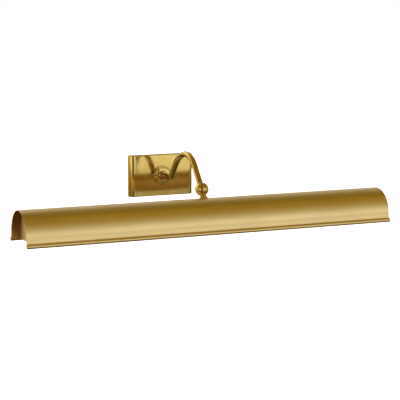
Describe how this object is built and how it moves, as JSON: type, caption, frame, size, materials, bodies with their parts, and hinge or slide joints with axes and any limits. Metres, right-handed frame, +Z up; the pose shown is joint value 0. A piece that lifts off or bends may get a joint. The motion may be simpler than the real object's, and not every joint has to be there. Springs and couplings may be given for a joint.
{
  "type": "picture light",
  "caption": "Brass wall picture light: flat backplate, swan-neck arm and ball swivel carrying a long arched shade with rolled edges and tubular lamps.",
  "frame": {"origin": "middle of the wall bracket's back face, on the wall", "axes": "+X along the shade, to the right as seen from the room; +Y into the wall; +Z up"},
  "size_m": [0.61, 0.2357, 0.1164],
  "materials": {
    "polished_brass": "polished and lacquered",
    "satin_brass": "satin, fine lengthwise grain, lacquered",
    "cap_brass": "satin, unpolished sheet",
    "zinc_steel": "zinc plated",
    "black_phenolic": "moulded phenolic",
    "opal_glass": "inside-frosted",
    "lead_sleeve": "extruded insulation",
    "ground_green": "green passivated"
  },
  "bodies": {
    "wall_side": {"wall_bracket": "zinc_steel", "ground_screw": "ground_green", "canopy": "polished_brass", "canopy_screw_top": "polished_brass", "canopy_screw_bottom": "polished_brass", "rosette": "polished_brass", "stem_lock_washer": "zinc_steel", "stem_nut": "polished_brass", "arm": "polished_brass", "arm_lead": "lead_sleeve", "ball_arm_half": "polished_brass", "swivel_screw": "polished_brass", "swivel_spring_washer": "zinc_steel", "swivel_friction_washer": "lead_sleeve"},
    "shade_side": {"ball_shade_half": "polished_brass", "neck_washer": "polished_brass", "neck_lock_washer": "zinc_steel", "neck_nut": "polished_brass", "neck_lead": "lead_sleeve", "shade": "satin_brass", "front_edge_wire": "zinc_steel", "back_edge_wire": "zinc_steel", "end_cap_left": "cap_brass", "end_cap_right": "cap_brass", "socket_strap": "zinc_steel", "shade_lead": "lead_sleeve", "socket_bracket_1": "zinc_steel", "bracket_rivet_1": "zinc_steel", "socket_1": "black_phenolic", "socket_screw_1": "zinc_steel", "lamp_base_1": "polished_brass", "lamp_glass_1": "opal_glass", "socket_bracket_2": "zinc_steel", "bracket_rivet_2": "zinc_steel", "socket_2": "black_phenolic", "socket_screw_2": "zinc_steel", "lamp_base_2": "polished_brass", "lamp_glass_2": "opal_glass", "socket_bracket_3": "zinc_steel", "bracket_rivet_3": "zinc_steel", "socket_3": "black_phenolic", "socket_screw_3": "zinc_steel", "lamp_base_3": "polished_brass", "lamp_glass_3": "opal_glass"}
  },
  "joints": [
    {"name": "shade_tilt", "type": "hinge", "parent": "wall_side", "child": "shade_side", "pos_m": [0, -0.17004, -0.00401], "axis": [1, 0, 0], "range_deg": [-90, 90]}
  ]
}
